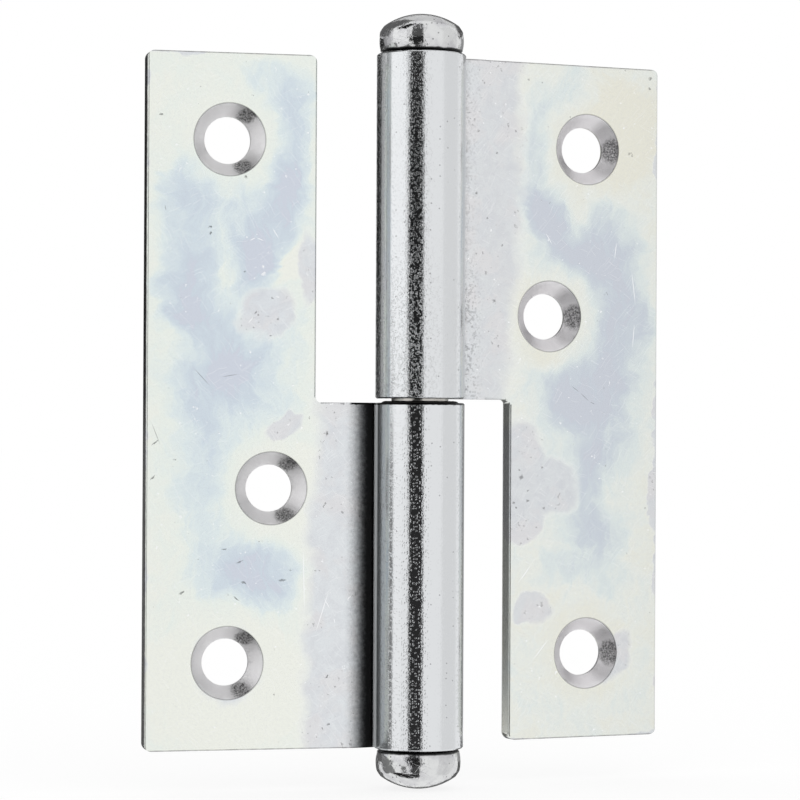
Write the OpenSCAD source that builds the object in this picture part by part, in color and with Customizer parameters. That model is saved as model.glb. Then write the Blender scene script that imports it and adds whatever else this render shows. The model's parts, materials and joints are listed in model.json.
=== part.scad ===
// Lift off hinge: two alike leaves, each a strip cut with a notch, cranked back and rolled into a
// knuckle that takes half the height. The pin is fixed in the lower knuckle and the upper knuckle
// drops over it. A plug with a domed head closes each end.
//
// Frame: the pin axis is Z, up. The origin lies on the axis at the lower leaf's mid-height.
// The lower leaf runs towards -X with its countersunk face to -Y.

/* [Leaves] */
// Height of a leaf, along the pin
leaf_height = 100; // [90:1:160]
// Distance from the pin axis to the outer edge of a leaf
leaf_reach = 40; // [38:0.5:60]
// Distance from the pin axis to the edge of the notch
notch_reach = 15.2; // [13.5:0.1:16]
// Thickness of the steel strip
strip_t = 2.3; // [1.8:0.1:2.6]
// Distance of the countersunk face behind the pin axis
setback = 1; // [0.5:0.1:1.5]
// Radius of a leaf's outer corners
corner_r = 1.2; // [0.5:0.1:4]
// Radius of the inner corner of the notch
notch_r = 0.7; // [0.5:0.1:1.5]
// Radius to which the press rounds the long front edges and the rolled end
edge_r = 0.4; // [0.2:0.05:0.6]

/* [Knuckles] */
// Outside diameter of a knuckle
knuckle_d = 13; // [12.6:0.1:14]
// Inside radius of the crank between plate and knuckle
crank_r = 14; // [9:0.5:18]
// Slot between the rolled end of the strip and the crank
roll_gap = 0.15; // [0.1:0.05:0.5]
// Distance by which a knuckle stops short of its leaf's mid-height
knuckle_relief = 0.1; // [0.05:0.05:0.5]
// Chamfer on the outer edges of a knuckle
knuckle_chamfer = 0.2; // [0.1:0.05:0.5]

/* [Screw holes] */
// Diameter of a screw hole
hole_d = 6.8; // [4:0.1:7.5]
// Diameter of a countersink at the face
countersink_d = 10.5; // [9:0.1:11]
// Included angle of a countersink, in degrees
countersink_angle = 90; // [85:1:120]
// Distance of the end holes from the outer edge
end_hole_inset = 12; // [7:0.5:15]
// Distance of the end holes from the top and bottom edges
end_hole_drop = 12.5; // [7:0.5:20]
// Distance of the middle hole from the line of the notch's edge
mid_hole_inset = 6.5; // [6:0.1:14]
// Distance of the middle hole from mid-height, towards the leaf's own knuckle
mid_hole_drop = 12.5; // [0:0.5:14]

/* [Pin and ball] */
// Clearance between the pin and the upper knuckle's bore, all round
running_gap = 0.05; // [0.02:0.01:0.1]
// Interference of a piece pressed into a bore, all round
press = 0.01; // [0.005:0.005:0.02]
// Height by which the pin carries the upper leaf above the lower one
upper_rise = 0.4; // [0.2:0.1:1.5]
// Depth below the lower knuckle's mouth at which the pressed part of the pin starts
grip_drop = 2; // [0.5:0.5:10]
// Chamfer on the pin's tip
tip_chamfer = 0.8; // [0.3:0.1:0.9]
// Chamfer on the pin's foot
foot_chamfer = 0.5; // [0.2:0.1:1]
// Diameter of the ball on the pin's tip
ball_d = 5.5; // [4:0.1:5.6]
// Height of the pin's tip above the ball's centre
ball_cover = 0.3; // [0:0.1:1]
// Point angle of the drill that makes the ball's pocket, in degrees
drill_angle = 118; // [90:1:140]
// Clearance of the ball in its pocket and under the plug
ball_gap = 0.04; // [0.01:0.01:0.1]

/* [Plugs] */
// Diameter of a plug's head
head_d = 12.3; // [11.5:0.1:12.6]
// Height of a plug's head
head_h = 5.9; // [5.4:0.1:6.6]
// Radius of the dome on top of the head
dome_r = 9.2; // [8.2:0.1:12]
// Height at which the head is widest
side_rise = 2; // [1.2:0.1:2.3]
// Depth by which the head's shoulder is eased
shoulder_ease = 0.15; // [0.04:0.01:0.2]
// Chamfer under the head
head_chamfer = 0.2; // [0.1:0.05:0.4]
// Gap under the head, and between the lower plug and the pin
seat_gap = 0.2; // [0.05:0.05:0.3]
// Length of the shank inside the knuckle
shank_l = 6; // [4:0.5:12]
// Chamfer on the end of the shank
shank_chamfer = 0.5; // [0.2:0.1:1]

/* [Pose] */
// Angle between the two countersunk faces, in degrees, 180 when the hinge lies flat
opening = 191; // [10:1:300]

/* [Hidden] */
$fn = 96;

half_h = leaf_height / 2;
knuckle_r = knuckle_d / 2;
bore_r = knuckle_r - strip_t;
press_r = bore_r + press;
pin_r = bore_r - running_gap;
back = setback + strip_t;
over = 1; // how far a cutter runs past what it cuts

// Neighbouring arcs and flats run into each other by this much, so that they cross at an angle
// of a few degrees, too small to see.
cross = 0.01;

// The crank is struck from a centre behind the plate: the back of the strip lies on radius
// crank_r and its front on crank_front_r. They meet the knuckle's circles on the line between
// the two centres.
crank_front_r = crank_r + strip_t;
crank_depth = back + crank_r - cross;
crank_span = knuckle_r + crank_r - cross;
crank_x = sqrt(crank_span * crank_span - crank_depth * crank_depth);
crank_angle = asin(crank_depth / crank_span);

// The outer corner of the rolled end stops roll_gap clear of the crank's front.
corner_span = crank_front_r + roll_gap;
roll_cos = (pow(knuckle_r, 2) + pow(crank_span, 2) - pow(corner_span, 2))
    / (2 * knuckle_r * crank_span);
roll_end = crank_angle - acos(roll_cos);

// Screw holes, as [reach from the pin axis, height] on the leaf with the upper knuckle
end_hole_x = leaf_reach - end_hole_inset;
end_hole_z = half_h - end_hole_drop;
mid_hole_x = notch_reach + mid_hole_inset;
screw_holes = [[end_hole_x, end_hole_z], [mid_hole_x, mid_hole_drop], [end_hole_x, -end_hole_z]];

// Heights along the pin
upper_end = half_h + upper_rise;
pin_foot = -half_h + shank_l + seat_gap;
grip_top = -knuckle_relief - grip_drop;
ball_r = ball_d / 2;
ball_z = upper_end - shank_l - ball_gap - ball_r;
pin_tip = ball_z + ball_cover;
pocket_r = ball_r + ball_gap;
pocket_point = ball_z - pocket_r / sin(drill_angle / 2);
pocket_floor = pocket_point + pocket_r / tan(drill_angle / 2);

// The side and the top of a plug's head are spherical. They would meet at the shoulder, where a
// third sphere, midway between them in slope, takes off the edge.
head_r = head_d / 2;
dome_z = head_h - dome_r;
shoulder_z = (pow(head_r, 2) - pow(dome_r, 2) - pow(side_rise, 2) + pow(dome_z, 2))
    / (2 * (dome_z - side_rise));
shoulder_x = sqrt(pow(head_r, 2) - pow(shoulder_z - side_rise, 2));
shoulder_slope = (atan((shoulder_z - side_rise) / shoulder_x)
    + atan((shoulder_z - dome_z) / shoulder_x)) / 2;
ease_z = shoulder_z - shoulder_x * tan(shoulder_slope);
ease_r = shoulder_x / cos(shoulder_slope) - shoulder_ease;
under_r = sqrt(pow(head_r, 2) - pow(side_rise - seat_gap, 2)) - head_chamfer;

zinc = [0.87, 0.88, 0.86];
steel = [0.62, 0.63, 0.64];

function polar(r, a) = [r * cos(a), r * sin(a)];

module at_crank() {
    translate([crank_x, crank_depth])
        children();
}

// Where the crank can be: from the line between the two centres out to the plate
module crank_field() {
    foot = polar(bore_r - over, crank_angle);
    polygon([
        foot,
        [foot.x, 0],
        [crank_x + over, 0],
        [crank_x + over, back],
        [crank_x, back],
        [crank_x, crank_depth]
    ]);
}

// The slot in front of the crank, up to the rolled end of the strip and round its outer corner
module roll_slot() {
    far = knuckle_r + 2 * over;
    difference() {
        union() {
            polygon([[0, 0], polar(far, roll_end), polar(far, crank_angle)]);
            rotate(roll_end)
                translate([knuckle_r, 0]) corner_waste(edge_r);
        }
        at_crank() circle(r = crank_front_r);
    }
}

// Section of a leaf across the pin: knuckle, crank and plate, with X along the leaf
module strip_section() {
    difference() {
        union() {
            circle(r = knuckle_r);
            intersection() {
                crank_field();
                at_crank() circle(r = crank_front_r);
            }
            translate([crank_x, setback])
                square([leaf_reach - crank_x, strip_t]);
        }
        circle(r = bore_r);
        roll_slot();
        at_crank() circle(r = crank_r);
    }
}

// What rounding takes off a square corner. The corner is at the origin, and the piece lies
// towards -X and -Y of it.
module corner_waste(r) {
    inset = r - cross;
    difference() {
        translate([-inset, -inset]) square(inset + over);
        translate([-inset, -inset]) circle(r = r);
    }
}

// The steel that fills an inner corner. The corner is at the origin, and the open side lies
// towards -X and -Y of it.
module corner_fillet(r) {
    inset = r - cross;
    difference() {
        translate([-inset, -inset]) square(r + over / 2);
        translate([-inset, -inset]) circle(r = r);
    }
}

// Outline of a leaf seen from the front: the plate, and the upper half with its knuckle
module leaf_outline() {
    difference() {
        union() {
            translate([notch_reach, -half_h])
                square([leaf_reach - notch_reach, leaf_height]);
            translate([-knuckle_r - over, knuckle_relief])
                square([knuckle_r + notch_reach + 2 * over, half_h - knuckle_relief]);
            translate([notch_reach, knuckle_relief])
                corner_fillet(notch_r);
        }
        translate([leaf_reach, half_h]) corner_waste(corner_r);
        translate([leaf_reach, -half_h]) rotate(-90) corner_waste(corner_r);
        translate([notch_reach, -half_h]) rotate(180) corner_waste(corner_r);
    }
}

// Rounds an edge along X: the bar starts at the origin, and the piece lies behind and below it.
module edge_bar(length) {
    rotate([180, -90, 0])
        linear_extrude(length)
            corner_waste(edge_r);
}

// The long edges of the front, rounded by the press
module front_edges() {
    translate([crank_x, setback, half_h])
        edge_bar(leaf_reach - crank_x + over);
    translate([leaf_reach + over, setback, -half_h])
        rotate([0, 180, 0]) edge_bar(leaf_reach - notch_reach + 2 * over);
    translate([leaf_reach, setback, half_h + over])
        rotate([0, 90, 0]) edge_bar(leaf_height + 2 * over);
    translate([notch_reach, setback, -half_h - over])
        rotate([0, -90, 0]) edge_bar(half_h + over + knuckle_relief - notch_r);
    translate([notch_reach - notch_r, setback, knuckle_relief])
        rotate([0, 180, 0]) edge_bar(notch_reach - notch_r - crank_x);
}

// Takes the edge off the knuckle's top end, at height 0, from the crank round to the rolled end
module knuckle_edge() {
    slack = roll_gap / 2;
    rotate([0, 0, crank_angle])
        rotate_extrude(angle = 360 + roll_end - crank_angle)
            polygon([
                [knuckle_r - knuckle_chamfer - slack, slack],
                [knuckle_r + slack, -knuckle_chamfer - slack],
                [knuckle_r + slack, slack]
            ]);
}

// A countersunk hole at the origin, drilled from the front
module screw_hole() {
    spread = tan(countersink_angle / 2);
    sink = (countersink_d - hole_d) / 2 / spread;
    rotate([-90, 0, 0]) {
        translate([0, 0, -over])
            cylinder(h = strip_t + 2 * over, d = hole_d);
        translate([0, 0, -over])
            cylinder(
                h = sink + 2 * over,
                r1 = countersink_d / 2 + over * spread,
                r2 = hole_d / 2 - over * spread
            );
    }
}

// A leaf running towards +X, with its knuckle in the upper half and its front to -Y
module leaf() {
    difference() {
        intersection() {
            translate([0, 0, -half_h])
                linear_extrude(leaf_height) strip_section();
            rotate([90, 0, 0])
                translate([0, 0, -knuckle_r - over])
                    linear_extrude(knuckle_d + 2 * over) leaf_outline();
        }
        front_edges();
        translate([0, 0, half_h])
            knuckle_edge();
        translate([0, 0, knuckle_relief])
            mirror([0, 0, 1]) knuckle_edge();
        for (hole = screw_holes)
            translate([hole.x, setback, hole.y]) screw_hole();
    }
}

module lower_leaf() {
    color(zinc)
        rotate([0, 180, 0]) leaf();
}

module upper_leaf() {
    color(zinc)
        translate([0, 0, upper_rise])
            rotate([0, 0, opening - 180]) leaf();
}

// Fixed in the lower knuckle, and a running fit in the upper one. The pocket in its tip holds
// the ball that carries the upper leaf.
module pin() {
    color(steel)
        rotate_extrude()
            polygon([
                [0, pin_foot],
                [press_r - foot_chamfer, pin_foot],
                [press_r, pin_foot + foot_chamfer],
                [press_r, grip_top],
                [pin_r, grip_top],
                [pin_r, pin_tip - tip_chamfer],
                [pin_r - tip_chamfer, pin_tip],
                [pocket_r, pin_tip],
                [pocket_r, pocket_floor],
                [0, pocket_point]
            ]);
}

module thrust_ball() {
    color(steel)
        translate([0, 0, ball_z]) sphere(d = ball_d);
}

// Half the section of a plug, with the end of the knuckle at height 0
module plug_section() {
    difference() {
        intersection() {
            translate([0, seat_gap]) square([head_r + over, head_h]);
            translate([0, side_rise]) circle(r = head_r);
            translate([0, ease_z]) circle(r = ease_r);
            translate([0, dome_z]) circle(r = dome_r);
        }
        translate([under_r, seat_gap])
            rotate(45)
                translate([-over, -over]) square([3 * over, over]);
    }
    polygon([
        [0, -shank_l],
        [press_r - shank_chamfer, -shank_l],
        [press_r, -shank_l + shank_chamfer],
        [press_r, seat_gap + over],
        [0, seat_gap + over]
    ]);
}

module plug() {
    color(zinc)
        rotate_extrude() plug_section();
}

module lower_finial() {
    translate([0, 0, -half_h])
        rotate([180, 0, 0]) plug();
}

module upper_finial() {
    translate([0, 0, upper_end])
        plug();
}

lower_leaf();
upper_leaf();
pin();
thrust_ball();
lower_finial();
upper_finial();
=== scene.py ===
import json
import math

import bpy
from mathutils import Matrix, Vector


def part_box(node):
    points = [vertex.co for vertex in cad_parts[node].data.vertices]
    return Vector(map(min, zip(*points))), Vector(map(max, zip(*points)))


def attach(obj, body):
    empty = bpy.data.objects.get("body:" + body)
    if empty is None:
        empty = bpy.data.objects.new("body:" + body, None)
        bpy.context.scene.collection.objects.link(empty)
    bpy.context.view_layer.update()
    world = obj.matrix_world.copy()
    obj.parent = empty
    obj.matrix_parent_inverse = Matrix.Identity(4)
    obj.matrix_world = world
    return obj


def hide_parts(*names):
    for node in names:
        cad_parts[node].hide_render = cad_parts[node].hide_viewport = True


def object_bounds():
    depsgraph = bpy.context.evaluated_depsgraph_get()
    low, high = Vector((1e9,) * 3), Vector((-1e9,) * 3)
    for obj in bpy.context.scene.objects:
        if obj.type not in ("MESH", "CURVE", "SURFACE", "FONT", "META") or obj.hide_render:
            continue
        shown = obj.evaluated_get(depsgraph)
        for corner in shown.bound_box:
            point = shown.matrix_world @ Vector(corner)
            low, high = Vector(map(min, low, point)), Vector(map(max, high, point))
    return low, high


# Looks of a lift off hinge in bright zinc plate. Places are metres in the frame of the packed
# model, and a finish works in millimetres. Directions are azimuth and elevation in degrees:
# azimuth 0 is towards the front, -Y, and 90 is towards +X.

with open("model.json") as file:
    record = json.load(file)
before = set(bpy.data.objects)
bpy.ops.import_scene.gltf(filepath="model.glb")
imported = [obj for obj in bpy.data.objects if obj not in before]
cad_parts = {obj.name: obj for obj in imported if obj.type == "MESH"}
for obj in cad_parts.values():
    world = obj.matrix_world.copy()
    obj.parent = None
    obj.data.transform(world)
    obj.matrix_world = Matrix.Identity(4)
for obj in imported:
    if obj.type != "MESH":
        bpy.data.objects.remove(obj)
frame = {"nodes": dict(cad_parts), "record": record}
cad_low, cad_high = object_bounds()

MM = 0.001

# The hinge as packed
BODIES = frame["record"]["behaviour"]["bodies"]
MOUNTS = {mount["name"]: mount for mount in frame["record"]["mounts"]}
SPAN_LOW, SPAN_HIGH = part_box("lower_leaf")
KNUCKLE_R = SPAN_HIGH.x / MM
LEAF_REACH = -SPAN_LOW.x / MM
HALF_HEIGHT = SPAN_HIGH.z / MM
UPPER_RISE = (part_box("upper_leaf")[1].z - SPAN_HIGH.z) / MM
UPPER_BACK = Vector(MOUNTS["upper_leaf_back"]["axis"])
UPPER_TURN = math.atan2(-UPPER_BACK.x, UPPER_BACK.y)
LEAF_BACK = MOUNTS["lower_leaf_back"]["pos_m"][1] / MM

# What the frame doesn't say: a countersink's radius at the face, and how far a knuckle stops
# short of its leaf's mid-height
SINK_R = 5.25
KNUCKLE_RELIEF = 0.1

# How much the sharp edges of a piece are eased, and the angles in degrees past which an edge is
# eased and past which it stays sharp in the shading
EDGE_EASE = 0.05
EDGE_ANGLE = 28
SMOOTH_ANGLE = 40

# The dark bead between the knuckles, a black thing that stands for the shade in the gap: its
# radius round the pin, and that of its section before it is pressed flat
BEAD_R = 4.9
BEAD_THICKNESS_R = 0.65

# The photograph's camera, which aims at a point just beside the middle of the pin
CAMERA_AZIMUTH = -14.066
CAMERA_ELEVATION = -0.516
CAMERA_ROLL = 0.281
CAMERA_DISTANCE = 0.4638
CAMERA_ASIDE = -0.002868
CAMERA_ABOVE = 0.000312
FOCAL_LENGTH = 143.96
SENSOR_WIDTH = 36


def linear(red, green, blue):
    """The colour that a shader takes, from one as it is seen, with 0 to 255 a channel."""
    return tuple(((c / 255 + 0.055) / 1.055) ** 2.4 for c in (red, green, blue)) + (1,)


class Value:
    """What a socket says over the surface. It takes part in sums, and a sum adds its nodes."""

    def __init__(self, finish, socket):
        self.finish = finish
        self.socket = socket

    def maths(self, operation, first, second=0):
        return self.finish.node("ShaderNodeMath", {"operation": operation}, {0: first, 1: second})

    def __add__(self, other):
        return self.maths("ADD", self, other)

    def __radd__(self, other):
        return self.maths("ADD", other, self)

    def __sub__(self, other):
        return self.maths("SUBTRACT", self, other)

    def __rsub__(self, other):
        return self.maths("SUBTRACT", other, self)

    def __mul__(self, other):
        return self.maths("MULTIPLY", self, other)

    def __rmul__(self, other):
        return self.maths("MULTIPLY", other, self)

    def __abs__(self):
        return self.maths("ABSOLUTE", self)

    def at_least(self, other):
        return self.maths("MAXIMUM", self, other)

    def at_most(self, other):
        return self.maths("MINIMUM", self, other)

    def sine(self):
        return self.maths("SINE", self)

    def turn_from(self, other):
        """The angle whose sine and cosine are as this value to the other."""
        return self.maths("ARCTAN2", self, other)


class Finish:
    """A material with its node tree, and the one way to add a node to it."""

    def __init__(self, name):
        self.material = bpy.data.materials.new(name)
        self.material.use_nodes = True
        self.tree = self.material.node_tree
        self.shader = self.tree.nodes["Principled BSDF"]

    def node(self, kind, settings=None, inputs=None, out=0):
        """Adds a node, gives it its settings and then its inputs, and hands back one output."""
        made = self.tree.nodes.new(kind)
        for name, setting in (settings or {}).items():
            if name == "stops":
                self.set_stops(made.color_ramp, setting)
            else:
                setattr(made, name, setting)
        for name, given in (inputs or {}).items():
            self.give(made.inputs[name], given)
        return Value(self, made.outputs[out])

    def set_stops(self, ramp, stops):
        while len(ramp.elements) < len(stops):
            ramp.elements.new(1)
        for element, (position, colour) in zip(ramp.elements, stops):
            element.position = position
            element.color = colour

    def give(self, socket, given):
        if isinstance(given, Value):
            self.tree.links.new(given.socket, socket)
        else:
            socket.default_value = given

    def shade(self, inputs):
        """Feeds the shader's own sockets."""
        for name, given in inputs.items():
            self.give(self.shader.inputs[name], given)

    def blend(self, amount, first, second):
        return self.node(
            "ShaderNodeMix", {"data_type": "RGBA"}, {0: amount, 6: first, 7: second}, out=2
        )

    def ease(self, value, start, end):
        """0 where the value is at start, 1 where it is at end, and smooth in between."""
        return self.node(
            "ShaderNodeMapRange",
            {"interpolation_type": "SMOOTHSTEP"},
            {"Value": value, "From Min": start, "From Max": end},
        )

    def vector(self, operation, first, second=(0, 0, 0), out=0):
        return self.node(
            "ShaderNodeVectorMath", {"operation": operation}, {0: first, 1: second}, out=out
        )

    def noise(self, place, grain, detail=2, rough=0.5, out="Fac"):
        """Noise whose grain is about that many millimetres across, from 0 to 1."""
        inputs = {"Vector": place, "Scale": 1 / grain, "Detail": detail, "Roughness": rough}
        return self.node("ShaderNodeTexNoise", {}, inputs, out=out)

    def parts(self, place):
        """The three numbers of a place."""
        split = self.node("ShaderNodeSeparateXYZ", {}, {0: place})
        return [Value(self, socket) for socket in split.socket.node.outputs]

    def moved(self, place, location=(0, 0, 0), turn=(0, 0, 0), scale=(1, 1, 1)):
        """The place in a frame of its own, at that location, turned and as large as that."""
        inputs = {"Vector": place, "Location": location, "Rotation": turn, "Scale": scale}
        return self.node("ShaderNodeMapping", {"vector_type": "TEXTURE"}, inputs)

    def wandering(self, place, grain, drift):
        """The place, pushed about by up to that drift along and up the surface."""
        push = self.vector("SUBTRACT", self.noise(place, grain, out="Color"), (0.5, 0.5, 0.5))
        return self.vector("ADD", place, self.vector("MULTIPLY", push, (drift, 0, drift)))


FLAT_CELLS = {"voronoi_dimensions": "2D"}


def sheet_of(finish, along, up):
    """A flat place on a surface, from the millimetres along it and up it."""
    return finish.node("ShaderNodeCombineXYZ", {}, {0: along, 1: up})


def bump(finish, height):
    """Raises the surface by a height in millimetres."""
    finish.shade({"Normal": finish.node("ShaderNodeBump", {}, {"Height": height, "Distance": MM})})


def specks(finish, sheet, cell, size, share):
    """Round specks of that radius, one in each cell of that width, in that share of the cells."""
    inputs = {"Vector": sheet, "Scale": 1 / cell}
    nearest = finish.node("ShaderNodeTexVoronoi", FLAT_CELLS, inputs, out="Distance")
    drawn, _, _ = finish.parts(Value(finish, nearest.socket.node.outputs["Color"]))
    speck = finish.ease(nearest, size / cell, 0.4 * size / cell)
    return speck * finish.ease(drawn, share, share - 0.01)


def flecks(finish, place, grain, cut):
    """Ragged flecks about that many millimetres across, the more of them the lower the cut."""
    return finish.ease(finish.noise(place, grain, detail=3, rough=0.6), cut, cut + 0.05)


def scratches(finish, sheet, turn, length, width, share):
    """Fine lines of that length and width, turned by that angle, in that share of their cells."""
    push = finish.vector("SCALE", finish.noise(sheet, 5, out="Color"))
    push.socket.node.inputs["Scale"].default_value = 2.5
    bent = finish.vector("ADD", sheet, push)
    turned = finish.moved(bent, turn=(0, 0, turn), scale=(length, 12 * width, 1))
    inputs = {"Vector": turned, "Scale": 1}
    nearest = finish.node("ShaderNodeTexVoronoi", FLAT_CELLS, inputs, out="Distance")
    drawn, _, _ = finish.parts(Value(finish, nearest.socket.node.outputs["Color"]))
    centre = Value(finish, nearest.socket.node.outputs["Position"])
    _, across, _ = finish.parts(finish.vector("SUBTRACT", turned, centre))
    line = finish.ease(abs(across), 1 / 12, 0.02) * finish.ease(nearest, 0.5, 0.35)
    return line * finish.ease(drawn, share, share - 0.01)


def patch(finish, place, reach, height, wide, tall, turn=0, soft=0.75):
    """1 in the middle of a patch on a leaf, falling to 0 over the soft share of its radius."""
    inside = finish.moved(
        place, (reach, 0, height), (0, math.radians(turn), 0), (wide, 1000, tall)
    )
    return finish.ease(finish.vector("LENGTH", inside, out="Value"), 1, 1 - soft)


def strongest(values):
    """The greatest of several values."""
    most = values[0]
    for value in values[1:]:
        most = most.at_least(value)
    return most


def strokes(finish, place, width, ends):
    """Tapered lines on a leaf, each from one reach and height to another."""
    lines = []
    for start, end in ends:
        middle = [(a + b) / 2 for a, b in zip(start, end)]
        run = [b - a for a, b in zip(start, end)]
        turn = math.degrees(math.atan2(-run[1], run[0]))
        lines.append(patch(finish, place, *middle, math.hypot(*run) / 2, width, turn, 0.6))
    return strongest(lines)


# Tints of the passivation, from where its film is thinnest to where it is thickest
LOWER_TINTS = [
    (0.0, linear(238, 240, 232)),
    (0.2, linear(233, 239, 233)),
    (0.4, linear(223, 233, 234)),
    (0.7, linear(210, 221, 229)),
    (0.9, linear(205, 215, 225)),
    (1.0, linear(207, 213, 224)),
]
UPPER_TINTS = [
    (0.0, linear(232, 231, 219)),
    (0.2, linear(232, 235, 229)),
    (0.4, linear(222, 230, 229)),
    (0.7, linear(208, 216, 222)),
    (0.9, linear(203, 210, 219)),
    (1.0, linear(204, 209, 218)),
]

# Patches of thicker film on a leaf: reach from the pin, height, half width, half height, turn
# and strength
LOWER_FILM = [
    (27, 6, 15, 50, 0, 0.3),
    (19, 35, 4.5, 15, 0, 0.6),
    (19.6, 29, 4.2, 6.5, 0, 0.35),
    (23.6, 21.5, 5, 8, -30, 0.7),
    (27, 31, 8, 11, 0, 0.2),
    (34.5, 24, 5, 18, 0, 0.35),
    (34, 16, 4.5, 9, 0, 0.25),
    (30.5, 9.5, 5, 11, 40, 0.4),
    (26, 4, 6.5, 7, 0, 0.6),
    (32, 1.5, 7, 7, 0, 0.3),
    (32.5, -10, 5, 14, 0, 0.2),
    (23, -25.5, 7.4, 7, 0, 0.75),
    (29.5, -24, 7, 6, 0, 0.25),
    (21, 45, 7, 6, 0, 0.3),
    (34, 31, 5, 8, 0, 0.2),
    (19.2, 20, 3, 5, -25, -0.5),
    (28, 18, 4, 3, 40, -0.25),
    (21, -12, 9, 10, 0, -0.3),
    (28, -41, 16, 12, 0, -0.35),
]
UPPER_FILM = [
    (27, 8, 14, 46, 0, 0.27),
    (20.8, 26.5, 4.5, 8, -25, 0.7),
    (26.5, 20.5, 7, 5, 0, 0.5),
    (32, 23, 8, 7, 0, 0.45),
    (33.5, 12, 6.5, 14, 0, 0.5),
    (28.5, 1.5, 10, 8, 0, 0.5),
    (25, -0.5, 5, 5, 0, 0.3),
    (30.5, -6, 8, 8, 0, 0.3),
    (28.8, -10.5, 4, 7, 0, 0.35),
    (29.3, -19, 7, 6, 0, 0.45),
    (24.5, -25, 8, 4, 0, 0.25),
    (32, -26, 5, 7, 0, 0.2),
    (19.5, 36, 4, 14, 0, 0.3),
    (24, 45, 7, 7, 0, 0.15),
    (34, 39, 9, 13, 0, -0.3),
    (26, 29, 3, 5, -20, -0.2),
    (22, 6, 5, 3.5, 0, -0.3),
    (27, -42, 16, 14, 0, 0.08),
]

# Places where the film is rubbed off: reach, height, half width, half height and turn
LOWER_WORN = [
    (10, -42, 11, 90, 0),
    (22.5, 12.5, 6.5, 5.6, 0),
    (16, 19, 2.8, 8, 0),
    (20, -3.7, 3.8, 2.8, 10),
    (27.8, -38, 8.3, 7.9, 0),
]
UPPER_WORN = [
    (9, 42, 13.2, 90, 0),
    (16.8, -10, 6.4, 11, 0),
    (22, -12.8, 7.4, 7, 0),
    (17.5, -17, 6, 5.6, -20),
    (19, -31, 5, 3.8, 0),
    (33, -38.5, 4.2, 7.4, 25),
    (40, -12, 1.3, 34, 0),
]

# Dark pits: reach, height, half width, half height and turn
LOWER_PITS = [
    (30.8, 24.9, 0.3, 0.24, 0),
    (30.8, 24, 0.22, 0.22, 0),
    (38, 40.8, 0.3, 0.26, 0),
    (25.7, 32.2, 0.36, 0.3, 0),
    (24.1, 12.7, 0.3, 0.14, 50),
    (21.7, 14.8, 0.3, 0.15, -30),
    (20.9, 11.8, 0.32, 0.14, 20),
    (21.9, 9.4, 0.2, 0.14, 0),
    (26.3, -23, 0.7, 0.14, 20),
    (25.7, -26, 0.55, 0.15, -15),
    (34.7, -27.4, 0.6, 0.2, 25),
    (28.6, -21.2, 0.5, 0.12, 0),
    (20.1, -25.7, 0.8, 0.2, 5),
    (26.8, -28.3, 0.7, 0.14, -35),
    (13.2, -46.5, 0.35, 0.2, 30),
    (13.4, -39.6, 0.5, 0.16, 60),
    (13.6, -4.6, 0.2, 0.5, 10),
    (39, -11, 0.6, 0.14, 55),
    (38.6, -6, 0.8, 0.1, 40),
]
UPPER_PITS = [
    (17.1, -11.3, 0.5, 0.34, 0),
    (17.1, -11.3, 0.3, 0.55, 20),
    (20.6, -9.9, 0.2, 0.2, 0),
    (18.2, -14.8, 0.3, 0.26, 0),
    (15.9, -15.1, 0.28, 0.24, 0),
    (16.3, -15.8, 0.2, 0.2, 0),
    (20.9, -15.9, 0.24, 0.24, 0),
    (16.8, -10.3, 0.26, 0.2, 0),
    (18.2, -13.3, 0.2, 0.16, 0),
    (12.5, 14.6, 0.5, 0.18, 35),
    (12.5, 14.6, 0.4, 0.16, -50),
    (9.8, 39.5, 0.26, 0.22, 0),
    (12.9, 36.4, 0.3, 0.2, 60),
    (9.5, 30.4, 0.26, 0.26, 0),
    (11.3, 26.7, 0.26, 0.2, 0),
    (13.8, 22.8, 0.26, 0.24, 0),
    (38.7, 48.6, 0.4, 0.3, 0),
    (38.5, 47.1, 0.3, 0.2, 50),
]

# Painted dark reflection in the countersinks, from a hole's axis: reach, height, half width, half
# height and turn
LOWER_SINK_REFLECTION = [
    (-2.6, 3.5, 1.7, 1.3, 0),
    (-2.1, -3.9, 1.7, 1.3, 0),
]
UPPER_SINK_REFLECTION = [
    (4.4, 0, 1.5, 2.4, 0),
]

# Scratches, each from one reach and height to another
LOWER_BRIGHT = [
    ((21.8, 25), (20.7, 23.3)),
    ((25.1, 23), (24.1, 23.5)),
    ((24.1, 23.5), (22.9, 23)),
    ((25.3, 11.1), (24.4, 12.1)),
    ((13.9, -28.2), (12.9, -30)),
    ((17, -20), (16.7, -31)),
    ((15.3, -34), (12.9, -26.5)),
    ((24.4, 17.8), (24.2, 17.5)),
    ((12.4, -31.2), (12.2, -32)),
]
UPPER_BRIGHT = [
    ((20.9, 25), (22.2, 23)),
    ((35.5, 20), (36.3, 14)),
    ((36.1, 12), (35.7, 7.5)),
    ((33, 24), (32.6, 21)),
    ((19, -24), (16.6, -27)),
    ((22, -35), (19, -38.5)),
]
LOWER_DARK = [
    ((33.2, 4.8), (30.6, 2)),
    ((29.2, 3.4), (26.4, 3.9)),
    ((37.4, 28), (37.2, 27)),
    ((39.2, -3), (37.8, -6.5)),
]
UPPER_DARK = [
    ((25.3, 2.3), (26.8, 1.3)),
    ((26.8, 1.3), (28.5, -0.1)),
    ((28.5, -0.1), (29.5, -0.5)),
]
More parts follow.
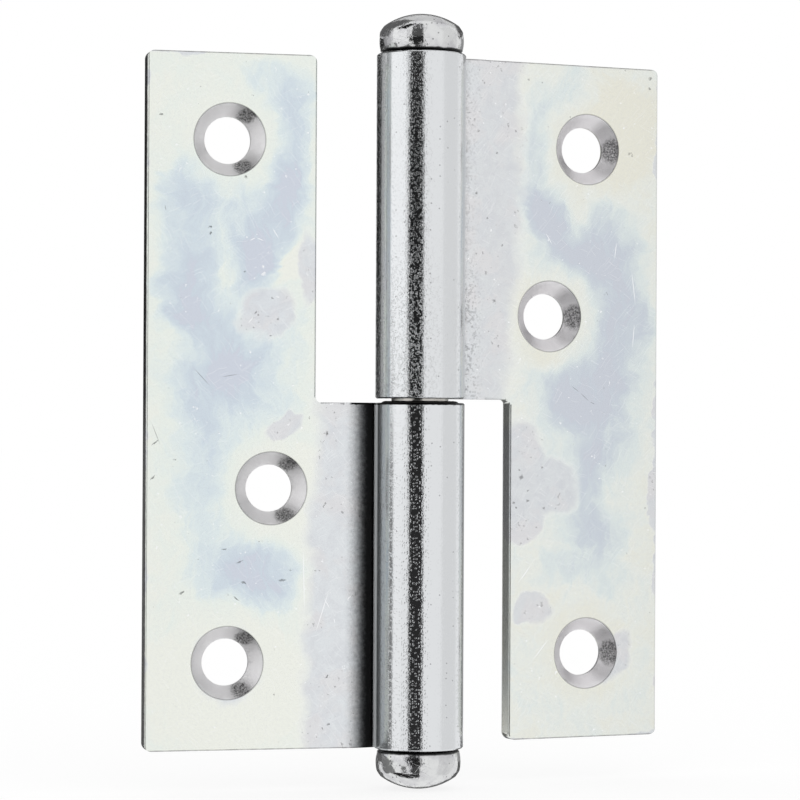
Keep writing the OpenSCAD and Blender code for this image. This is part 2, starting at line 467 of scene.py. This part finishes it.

# What differs between the leaves. shift takes another part of the noise for each, base_film is
# how thick the film is where no patch adds to it, pimples is the height of the knuckle's fine
# pimples, and shaded_band is a band of painted shade along the knuckle: the angles round the roll,
# in radians, where it starts, is full, is full no more and ends.
LOOKS = {
    "lower": {
        "shift": 17,
        "base_film": 0.07,
        "sink_dark_reflection": LOWER_SINK_REFLECTION,
        "pimples": 0.012,
        "shaded_band": (-0.63, -0.55, -0.1, 0),
        "shaded_band_tint": linear(173, 177, 179),
        "tints": LOWER_TINTS,
        "film": LOWER_FILM,
        "worn": LOWER_WORN,
        "worn_tint": linear(220, 224, 229),
        "sink_tint": linear(238, 237, 238),
        "pits": LOWER_PITS,
        "bright": LOWER_BRIGHT,
        "dark": LOWER_DARK,
    },
    "upper": {
        "shift": 61,
        "base_film": 0.14,
        "sink_dark_reflection": UPPER_SINK_REFLECTION,
        "pimples": 0.007,
        "shaded_band": (-2.9, -2.86, -2.76, -2.72),
        "shaded_band_tint": linear(178, 181, 183),
        "tints": UPPER_TINTS,
        "film": UPPER_FILM,
        "worn": UPPER_WORN,
        "worn_tint": linear(215, 218, 222),
        "sink_tint": linear(240, 238, 240),
        "pits": UPPER_PITS,
        "bright": UPPER_BRIGHT,
        "dark": UPPER_DARK,
    },
}

# Tints that both leaves share
RIM_TINT = linear(238, 240, 236)
WORN_SHADE = linear(196, 197, 206)
WARM_SHADE = linear(222, 218, 220)
KNUCKLE_TINT = linear(221, 223, 225)
PIT_TINT = linear(92, 93, 93)
EDGE_TINT = linear(118, 117, 118)
SCRATCH_AND_GLINT_TINT = linear(250, 251, 252)
# Black for the painted shade and the painted dark reflections
PAINTED_BLACK = linear(10, 10, 10)


def leaf_place(finish, side):
    """Millimetres on a leaf: X from the pin to the outer edge, Y into the plate, Z up."""
    place = finish.node("ShaderNodeTexCoord", out="Object")
    if side == "lower":
        return finish.moved(place, scale=(-MM, MM, MM))
    upright = finish.moved(place, turn=(0, 0, UPPER_TURN), scale=(MM, MM, MM))
    return finish.vector("SUBTRACT", upright, (0, 0, UPPER_RISE))


def screw_places(side):
    """Reach and height of the three screw holes of a leaf, in its own millimetres."""
    ends = MOUNTS[side + "_leaf_end_screws"]
    middle = MOUNTS[side + "_leaf_middle_screw"]
    turn = UPPER_TURN if side == "upper" else math.pi
    along = Vector((math.cos(turn), math.sin(turn), 0))
    rise = UPPER_RISE if side == "upper" else 0
    pitch = ends["dims"].get("spacing_y_mm") or ends["dims"]["pcd_mm"]
    end_reach = along.dot(Vector(ends["pos_m"])) / MM
    middle_reach = along.dot(Vector(middle["pos_m"])) / MM
    middle_height = middle["pos_m"][2] / MM - rise
    return [(end_reach, pitch / 2), (middle_reach, middle_height), (end_reach, -pitch / 2)]


def from_holes(finish, place, side):
    """How many millimetres away the axis of the nearest screw hole is."""
    nearest = None
    for reach, height in screw_places(side):
        offset = finish.vector("SUBTRACT", place, (reach, 0, height))
        flat = finish.vector("MULTIPLY", offset, (1, 0, 1))
        away = finish.vector("LENGTH", flat, out="Value")
        nearest = nearest.at_most(away) if nearest else away
    return nearest


def film_tint(finish, place, look, rim):
    """The colour of the passivation over a plate, and how far it is rubbed off, from 0 to 1."""
    smeared = finish.wandering(finish.wandering(place, 9, 7), 2.2, 3)
    film = look["base_film"] + 0.5 * (finish.noise(smeared, 3.5, detail=4, rough=0.6) - 0.45)
    for *spot, strength in look["film"]:
        film = film + strength * patch(finish, smeared, *spot)
    streaks = finish.noise(finish.moved(smeared, scale=(1, 1, 5)), 0.8, detail=3)
    film = film * (0.6 + 0.85 * streaks) * (1 - 0.65 * rim)
    tint = finish.node("ShaderNodeValToRGB", {"stops": look["tints"]}, {"Fac": film})

    ragged = finish.wandering(finish.wandering(place, 6, 4.5), 1.8, 1.5)
    reach, _, height = finish.parts(ragged)
    side_edge = finish.ease(reach, LEAF_REACH - 0.7, LEAF_REACH + 1.2)
    end_edge = finish.ease(abs(height), HALF_HEIGHT - 0.7, HALF_HEIGHT + 1.2)
    spots = [patch(finish, ragged, *spot, 0.85) for spot in look["worn"]]
    worn = strongest(spots + [side_edge, end_edge])
    tint = finish.blend(finish.ease(worn, 0.2, 0.42) * 0.4, tint, RIM_TINT)
    mottle = finish.ease(finish.noise(ragged, 1.6, detail=5, rough=0.65), 0.35, 0.7)
    rubbed = finish.blend(mottle * 0.4, look["worn_tint"], WORN_SHADE)
    warm = finish.ease(finish.noise(ragged, 4, detail=3), 0.45, 0.65)
    rubbed = finish.blend(warm * 0.5, rubbed, WARM_SHADE)
    tint = finish.blend(finish.ease(worn, 0.3, 0.62) * 0.8, tint, rubbed)
    fleck = finish.noise(place, 0.45, detail=4, rough=0.7)
    return finish.blend(finish.ease(fleck, 0.4, 0.75) * 0.12, tint, WORN_SHADE), worn


def pits_and_shade_flecks(finish, side, place, worn, reach, height):
    """Pits in the plating: the listed ones and fine ones where the film is rubbed off; and beside
    the upper knuckle a crowd of dark flecks, the grainy edge of the painted shade there."""
    nudged = finish.wandering(place, 0.35, 0.5)
    pits = strongest([patch(finish, nudged, *pit, 0.8) for pit in LOOKS[side]["pits"]])
    crowded = finish.ease(worn, 0.35, 0.5) * finish.ease(finish.noise(place, 4), 0.45, 0.62)
    fine = flecks(finish, place, 0.6, 0.64) * crowded * 0.65
    lone = flecks(finish, place, 1.3, 0.72) * 0.7
    pits = pits.at_least(fine).at_least(lone)
    # Dark flecks beside the upper knuckle: the grainy edge of the painted shade there
    if side == "upper":
        crowd = finish.ease(reach, 11.5, 8) * (0.35 + 0.65 * finish.ease(height, 24, 10))
        pits = pits.at_least(flecks(finish, place, 0.4, 0.54) * crowd * 0.6)
    return pits


def sink_dark_reflection(finish, place, side):
    """Painted dark reflection in the countersinks, grainy, in patches at set places round each
    hole.
    """
    ragged = finish.wandering(place, 0.6, 0.9)
    spots = []
    for reach, height in screw_places(side):
        for across, up, *size in LOOKS[side]["sink_dark_reflection"]:
            spots.append(patch(finish, ragged, reach + across, height + up, *size, 0.5))
    grain = finish.noise(place, 0.25, detail=3, rough=0.7)
    return strongest(spots) * (0.1 + 0.75 * finish.ease(grain, 0.3, 0.65))


def corner_shade(finish, side, place, reach, depth, height, radius):
    """Painted shade in the corner between a leaf and its knuckle, and on the lower leaf a painted
    shadow band along the top of its crank and knuckle.
    """
    clump = finish.noise(place, 0.5, detail=4, rough=0.7)
    outside = finish.ease(radius, KNUCKLE_R + 0.02, KNUCKLE_R + 0.12)
    corner = outside * finish.ease(depth, LEAF_BACK, LEAF_BACK - 1)
    if side == "upper":
        return 0.6 * finish.ease(reach + 3 * clump, 10.2, 7.6) * corner
    throat = 0.98 * finish.ease(reach + 1.3 * clump, 11.7, 8) * corner
    mouth = finish.ease(height + 0.3 * clump, -0.32, -0.2) * finish.ease(reach, 10.4, 9.8)
    return throat.at_least(mouth)


def plate_edges(finish, place, reach, height):
    """A painted dark line along a leaf's sheared edges, broken in places: painted dark reflection
    of the edges.
    """
    side_edge = finish.ease(reach, LEAF_REACH - 0.2, LEAF_REACH - 0.08)
    end_edge = finish.ease(abs(height), HALF_HEIGHT - 0.24, HALF_HEIGHT - 0.1)
    broken = finish.ease(finish.noise(place, 1.1, detail=4, rough=0.7), 0.3, 0.6)
    return side_edge.at_least(end_edge) * (0.35 + 0.4 * broken)


def zinc_leaf(side):
    """Bright zinc plate with its pale passivation, on a leaf and its knuckle."""
    look = LOOKS[side]
    finish = Finish(side + "_leaf_zinc")
    on_leaf = leaf_place(finish, side)
    reach, depth, height = finish.parts(on_leaf)
    place = finish.vector("ADD", on_leaf, (0, look["shift"], 0))
    knuckle = finish.ease(reach, KNUCKLE_R + 0.6, KNUCKLE_R + 0.1)
    flat = sheet_of(finish, reach + look["shift"], height)
    roll = depth.turn_from(reach)
    rolled = sheet_of(finish, roll * KNUCKLE_R, height)
    radius = finish.vector("LENGTH", sheet_of(finish, reach, depth), out="Value")
    away = from_holes(finish, on_leaf, side)
    front = finish.ease(depth, LEAF_BACK - 0.1, LEAF_BACK - 0.3)
    sink = finish.ease(away, SINK_R + 0.03, SINK_R - 0.08) * front
    rim = finish.ease(away + 4 * (finish.noise(place, 3) - 0.5), SINK_R + 4.5, SINK_R + 0.3)

    tint, worn = film_tint(finish, place, look, rim)
    pits = pits_and_shade_flecks(finish, side, place, worn, reach, height)
    lines = scratches(finish, flat, 0.9, 3, 0.035, 0.2)
    lines = lines.at_least(scratches(finish, flat, -0.5, 1.6, 0.04, 0.14))
    bright = strokes(finish, place, 0.1, look["bright"]).at_least(lines * 0.5)
    # White flecks on top of the scratches: painted glints
    bright = bright.at_least(flecks(finish, finish.moved(place, (9, 9, 9)), 0.8, 0.68))
    dark = strokes(finish, place, 0.07, look["dark"])
    tint = finish.blend(bright * 0.7, tint, SCRATCH_AND_GLINT_TINT)
    tint = finish.blend(pits * 0.6, tint, PIT_TINT)
    tint = finish.blend(dark * 0.5, tint, PIT_TINT)
    tint = finish.blend(plate_edges(finish, place, reach, height), tint, EDGE_TINT)

    turned = (30 * away + 4 * finish.noise(place, 1.2)).sine()
    # A painted dark line round each countersink's mouth: painted dark reflection of its edge
    lip = finish.ease(abs(away - SINK_R), 0.12, 0.04) * front
    # The countersinks' colour, with their painted dark reflection
    sunk = finish.blend(sink_dark_reflection(finish, place, side), look["sink_tint"], PAINTED_BLACK)
    tint = finish.blend(sink, tint, sunk)
    tint = finish.blend(lip * 0.5, tint, PIT_TINT)

    ticks = specks(finish, rolled, 1.3, 0.15, 0.16)
    # A band of painted shade along the knuckle
    start, dark_start, dark_end, end = look["shaded_band"]
    shaded_band = finish.ease(roll, start, dark_start) * finish.ease(roll, end, dark_end)
    knuckle_tone_and_shade = finish.blend(shaded_band, KNUCKLE_TINT, look["shaded_band_tint"])
    knuckle_tone_and_shade = finish.blend(ticks * 0.5, knuckle_tone_and_shade, PIT_TINT)
    tint = finish.blend(knuckle, tint, knuckle_tone_and_shade)
    # Painted shade in the corner by the knuckle, and the painted shadow band at the top of the
    # lower knuckle
    ragged_shade = corner_shade(finish, side, place, reach, depth, height, radius)
    tint = finish.blend(ragged_shade, tint, PAINTED_BLACK)

    streak = finish.noise(finish.moved(place, scale=(1, 1, 9)), 0.45, detail=2)
    grain = finish.noise(place, 0.2, detail=3, rough=0.6)
    swell = finish.noise(place, 2.5)
    pimples = specks(finish, rolled, 0.36, 0.15, 0.5)
    dull_back = 0.3 * (1 - front) * (1 - knuckle)
    polish = 0.2 + 0.22 * sink - 0.15 * knuckle + 0.02 * knuckle * streak + dull_back
    finish.shade({"Base Color": tint, "Metallic": 1.0, "Roughness": polish + 0.2 * ragged_shade})
    if side == "lower":
        # A non-metal strip on the lower knuckle's lip, which shows as a bright line: a painted
        # highlight
        lip_shine = finish.ease(roll, -0.16, -0.1) * finish.ease(roll, 0.6, 0.5)
        chalky = 0.15 * finish.ease(roll, -0.42, -0.28)
        round_it = finish.ease(radius, KNUCKLE_R + 0.1, KNUCKLE_R + 0.02)
        finish.shade({"Metallic": 1 - round_it * lip_shine.at_least(chalky)})
    barrel_relief = 0.006 * grain + 0.004 * streak + 0.03 * swell + look["pimples"] * pimples
    plate_relief = 0.005 * grain - 0.03 * pits
    sink_relief = 0.004 * turned + 0.01 * grain
    bump(finish, plate_relief + knuckle * barrel_relief + sink * sink_relief)
    return finish.material


def metal_place(finish):
    """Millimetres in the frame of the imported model."""
    return finish.moved(finish.node("ShaderNodeTexCoord", out="Object"), scale=(MM, MM, MM))


def zinc_plug(side):
    """Bright zinc on a plug's domed head, handled and knocked, with painted shade round its seat.
    """
    finish = Finish(side + "_finial_zinc")
    place = metal_place(finish)
    across, depth, height = finish.parts(place)
    round_head = across.turn_from(-1 * depth) * KNUCKLE_R
    flat = sheet_of(finish, round_head, height)
    seat = HALF_HEIGHT + (UPPER_RISE if side == "upper" else 0)
    ragged_shade = finish.noise(place, 1.5, detail=3)
    # Painted shade where the head seats on its knuckle, ragged at its edge
    seat_shade = finish.ease(abs(height) - 0.4 * ragged_shade, seat + 0.5, seat + 0.25)
    cloud = finish.noise(place, 2.2, detail=4, rough=0.6)
    pits = specks(finish, flat, 0.9, 0.15, 0.2)
    pimples = specks(finish, flat, 0.5, 0.2, 0.4)
    lines = scratches(finish, flat, 0.9, 2.4, 0.04, 0.35)
    lines = lines.at_least(scratches(finish, flat, -0.3, 1.8, 0.03, 0.3))
    tint = finish.blend(finish.ease(cloud, 0.4, 0.7), linear(219, 220, 220), linear(196, 196, 199))
    tint = finish.blend(pits * 0.6, tint, PIT_TINT)
    tint = finish.blend(seat_shade * 0.95, tint, PAINTED_BLACK)
    polish = 0.06 + 0.06 * cloud + 0.2 * seat_shade
    finish.shade({"Base Color": tint, "Metallic": 1.0, "Roughness": polish})
    grain = finish.noise(place, 0.3, detail=3, rough=0.65)
    swell = finish.noise(place, 1.6, detail=2)
    relief = 0.01 * grain + 0.06 * swell + 0.007 * pimples
    bump(finish, relief - 0.03 * pits - 0.007 * lines)
    return finish.material


def plain_steel(name, colour, roughness, grain_height):
    """Bare steel, drawn or ground, a little cloudy."""
    finish = Finish(name)
    place = metal_place(finish)
    cloud = finish.noise(place, 2.5, detail=3)
    grain = finish.noise(place, 0.3, detail=3, rough=0.6)
    tint = finish.blend(cloud, colour, tuple(0.82 * c for c in colour[:3]) + (1,))
    finish.shade({"Base Color": tint, "Metallic": 1.0, "Roughness": roughness + 0.08 * cloud})
    bump(finish, grain_height * grain)
    return finish.material


def dress(node, name, ease, material):
    """Makes the piece that stands for a CAD node, with its flats made whole and edges eased."""
    source = frame["nodes"][node]
    piece = bpy.data.objects.new(name, source.data.copy())
    bpy.context.scene.collection.objects.link(piece)
    bpy.ops.object.select_all(action="DESELECT")
    bpy.context.view_layer.objects.active = piece
    piece.select_set(True)
    bpy.ops.object.mode_set(mode="EDIT")
    bpy.ops.mesh.select_all(action="SELECT")
    bpy.ops.mesh.customdata_custom_splitnormals_clear()
    bpy.ops.mesh.remove_doubles(threshold=0.002 * MM)
    bpy.ops.mesh.select_all(action="SELECT")
    bpy.ops.mesh.dissolve_limited(angle_limit=math.radians(0.6))
    bpy.ops.object.mode_set(mode="OBJECT")
    if ease:
        edges = piece.modifiers.new("eased_edges", "BEVEL")
        edges.width = ease * MM
        edges.segments = 2
        edges.limit_method = "ANGLE"
        edges.angle_limit = math.radians(EDGE_ANGLE)
        bpy.ops.object.modifier_apply(modifier=edges.name)
    bpy.ops.object.shade_smooth_by_angle(angle=math.radians(SMOOTH_ANGLE))
    flats = piece.modifiers.new("flat_faces", "WEIGHTED_NORMAL")
    flats.keep_sharp = True
    bpy.ops.object.modifier_apply(modifier=flats.name)
    piece.data.materials.clear()
    piece.data.materials.append(material)
    body = next(b for b, members in BODIES.items() if node in members)
    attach(piece, body)
    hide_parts(node)


def lay_shade_bead():
    """A dark bead pressed out between the knuckles and lying on the lower one, a black thing that
    stands for the shade in the gap.
    """
    mouth = -KNUCKLE_RELIEF * MM
    bpy.ops.object.select_all(action="DESELECT")
    bpy.ops.mesh.primitive_torus_add(
        major_radius=BEAD_R * MM,
        minor_radius=BEAD_THICKNESS_R * MM,
        major_segments=120,
        minor_segments=12,
        location=(0, 0, mouth),
    )
    bead = bpy.context.active_object
    bead.name = "shade_bead"
    bpy.ops.object.mode_set(mode="EDIT")
    bpy.ops.mesh.select_all(action="SELECT")
    bpy.ops.transform.resize(value=(1, 1, 0.4))
    bpy.ops.transform.vertex_random(offset=0.05 * MM, seed=4)
    bpy.ops.object.mode_set(mode="OBJECT")
    bpy.ops.object.transform_apply(location=True)
    for point in bead.data.vertices:
        point.co.z = max(point.co.z, mouth)
    bpy.ops.object.shade_smooth()
    # Near black and lumpy: the bead's painted shade
    finish = Finish("shade_bead_black")
    place = metal_place(finish)
    lumps = finish.noise(place, 0.4, detail=4, rough=0.6)
    tint = finish.blend(lumps, linear(14, 13, 12), linear(40, 36, 32))
    finish.shade({"Base Color": tint, "Roughness": 0.35 + 0.3 * lumps})
    bump(finish, 0.05 * lumps)
    bead.data.materials.append(finish.material)
    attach(bead, "lower")


lay_shade_bead()
for side in ("lower", "upper"):
    dress(side + "_leaf", side + "_leaf_plated", EDGE_EASE, zinc_leaf(side))
    dress(side + "_finial", side + "_finial_plated", EDGE_EASE, zinc_plug(side))
dress("pin", "pin_drawn", EDGE_EASE,
      plain_steel("pin_steel", linear(205, 202, 197), 0.18, 0.006))
dress("thrust_ball", "thrust_ball_polished", 0,
      plain_steel("ball_steel", linear(215, 216, 218), 0.05, 0.001))


def direction(azimuth, elevation):
    """The unit vector towards that azimuth and elevation."""
    turn = math.radians(azimuth)
    tilt = math.radians(elevation)
    return Vector(
        (math.sin(turn) * math.cos(tilt), -math.cos(turn) * math.cos(tilt), math.sin(tilt))
    )


def make_camera():
    """The photograph's camera."""
    back = direction(CAMERA_AZIMUTH, CAMERA_ELEVATION)
    right = direction(CAMERA_AZIMUTH + 90, 0)
    up = back.cross(right)
    target = right * CAMERA_ASIDE + up * CAMERA_ABOVE
    data = bpy.data.cameras.new("camera")
    data.lens = FOCAL_LENGTH
    data.sensor_width = SENSOR_WIDTH
    camera = bpy.data.objects.new("camera", data)
    bpy.context.scene.collection.objects.link(camera)
    aim = (-back).to_track_quat("-Z", "Y").to_matrix().to_4x4()
    roll = Matrix.Rotation(math.radians(CAMERA_ROLL), 4, "Z")
    camera.matrix_world = Matrix.Translation(target + back * CAMERA_DISTANCE) @ aim @ roll
    bpy.context.scene.camera = camera


CARD_DISTANCE = 0.7

# The studio round the hinge, as the metal mirrors it: card, azimuths, elevations and level
CARDS = [
    ("upper_gap", (-46, -7), (0, 12), 0.02),
    ("upper_gap_high", (-40, -10), (12, 45), 0.1),
    ("lower_gap", (-41, -5), (-12, 0), 0.03),
    ("lower_gap_low", (-36, -8), (-45, -12), 0.08),
    ("upper_window", (-98, -52), (0, 36), 1.15),
    ("upper_wall", (-123, -104), (0, 12), 0.7),
    ("upper_corner", (-136, -123), (0, 12), 0.45),
    ("back_corner", (-149, -136), (0, 12), 0.05),
    ("back_gap", (-176, -149), (0, 12), 0.02),
    ("lower_window", (-86, -60), (-36, 0), 1.05),
    ("lower_wall", (-130, -86), (-36, 0), 0.25),
    ("lower_corner", (-176, -130), (-9, 0), 0.14),
    ("right_wall", (46, 95), (-45, 45), 0.87),
    ("right_back", (122, 165), (-9, 12), 0.35),
    ("ceiling_gap", (-44, -5), (45, 84), 0.15),
    ("floor_gap", (-60, -8), (-78, -45), 0.04),
    ("high_shelf", (-98, -60), (36, 80), 0.02),
    ("low_shelf", (-98, -60), (-78, -36), 0.02),
    ("upper_stand", (-60, -51), (7, 36), 0.04),
    ("lower_stand", (-60, -46), (-38, -13), 0.2),
    ("back_rim_right", (110, 180), (12, 30), 0.12),
    ("back_shelf_right", (110, 180), (30, 66), 0.75),
    ("back_shelf_left", (-180, -110), (12, 66), 0.15),
    ("back_floor_right", (125, 180), (-32, -9), 0.12),
    ("back_floor_left", (-180, -150), (-32, -9), 0.12),
]


def hang_card(name, azimuths, elevations, level):
    """A card that the metal mirrors and the camera doesn't see, with its corners at two
    azimuths and two elevations."""
    bpy.ops.object.select_all(action="DESELECT")
    bpy.ops.mesh.primitive_plane_add(size=1)
    card = bpy.context.active_object
    card.name = name
    for corner in card.data.vertices:
        azimuth = azimuths[0] if corner.co.x < 0 else azimuths[1]
        elevation = elevations[0] if corner.co.y < 0 else elevations[1]
        corner.co = direction(azimuth, elevation) * CARD_DISTANCE
    finish = Finish(name)
    finish.shade({"Base Color": (0, 0, 0, 1), "Roughness": 1.0, "Specular IOR Level": 0.0})
    finish.shade({"Emission Color": (1, 1, 1, 1), "Emission Strength": level})
    card.data.materials.append(finish.material)
    card.visible_camera = False
    card.visible_diffuse = False
    card.visible_shadow = False


FLOOR_SIZE = 12
FLOOR_GLOW = 0.8


def make_floor():
    """A plain white floor that keeps the hinge's shadow."""
    bpy.ops.object.select_all(action="DESELECT")
    bpy.ops.mesh.primitive_plane_add(size=FLOOR_SIZE, location=(0, 0, cad_low.z))
    floor = bpy.context.active_object
    floor.name = "floor"
    floor.visible_glossy = False
    finish = Finish("floor_white")
    finish.shade({"Base Color": (1, 1, 1, 1), "Roughness": 1.0, "Specular IOR Level": 0.0})
    glow = finish.node("ShaderNodeEmission", {}, {"Color": (1, 1, 1, 1), "Strength": 1.0})
    seen = finish.node("ShaderNodeLightPath", out="Is Camera Ray")
    lit = Value(finish, finish.shader.outputs[0])
    both = finish.node("ShaderNodeMixShader", {}, {0: seen * FLOOR_GLOW, 1: lit, 2: glow})
    finish.give(finish.tree.nodes["Material Output"].inputs["Surface"], both)
    floor.data.materials.append(finish.material)


def light_the_room():
    """An even white room, white to the camera and to what the metal mirrors."""
    world = bpy.data.worlds.new("white_room")
    world.use_nodes = True
    background = world.node_tree.nodes["Background"]
    background.inputs["Color"].default_value = (1, 1, 1, 1)
    background.inputs["Strength"].default_value = 1.0
    bpy.context.scene.world = world


for card in CARDS:
    hang_card(*card)
make_floor()
light_the_room()
make_camera()
bpy.context.scene.view_settings.view_transform = "Standard"
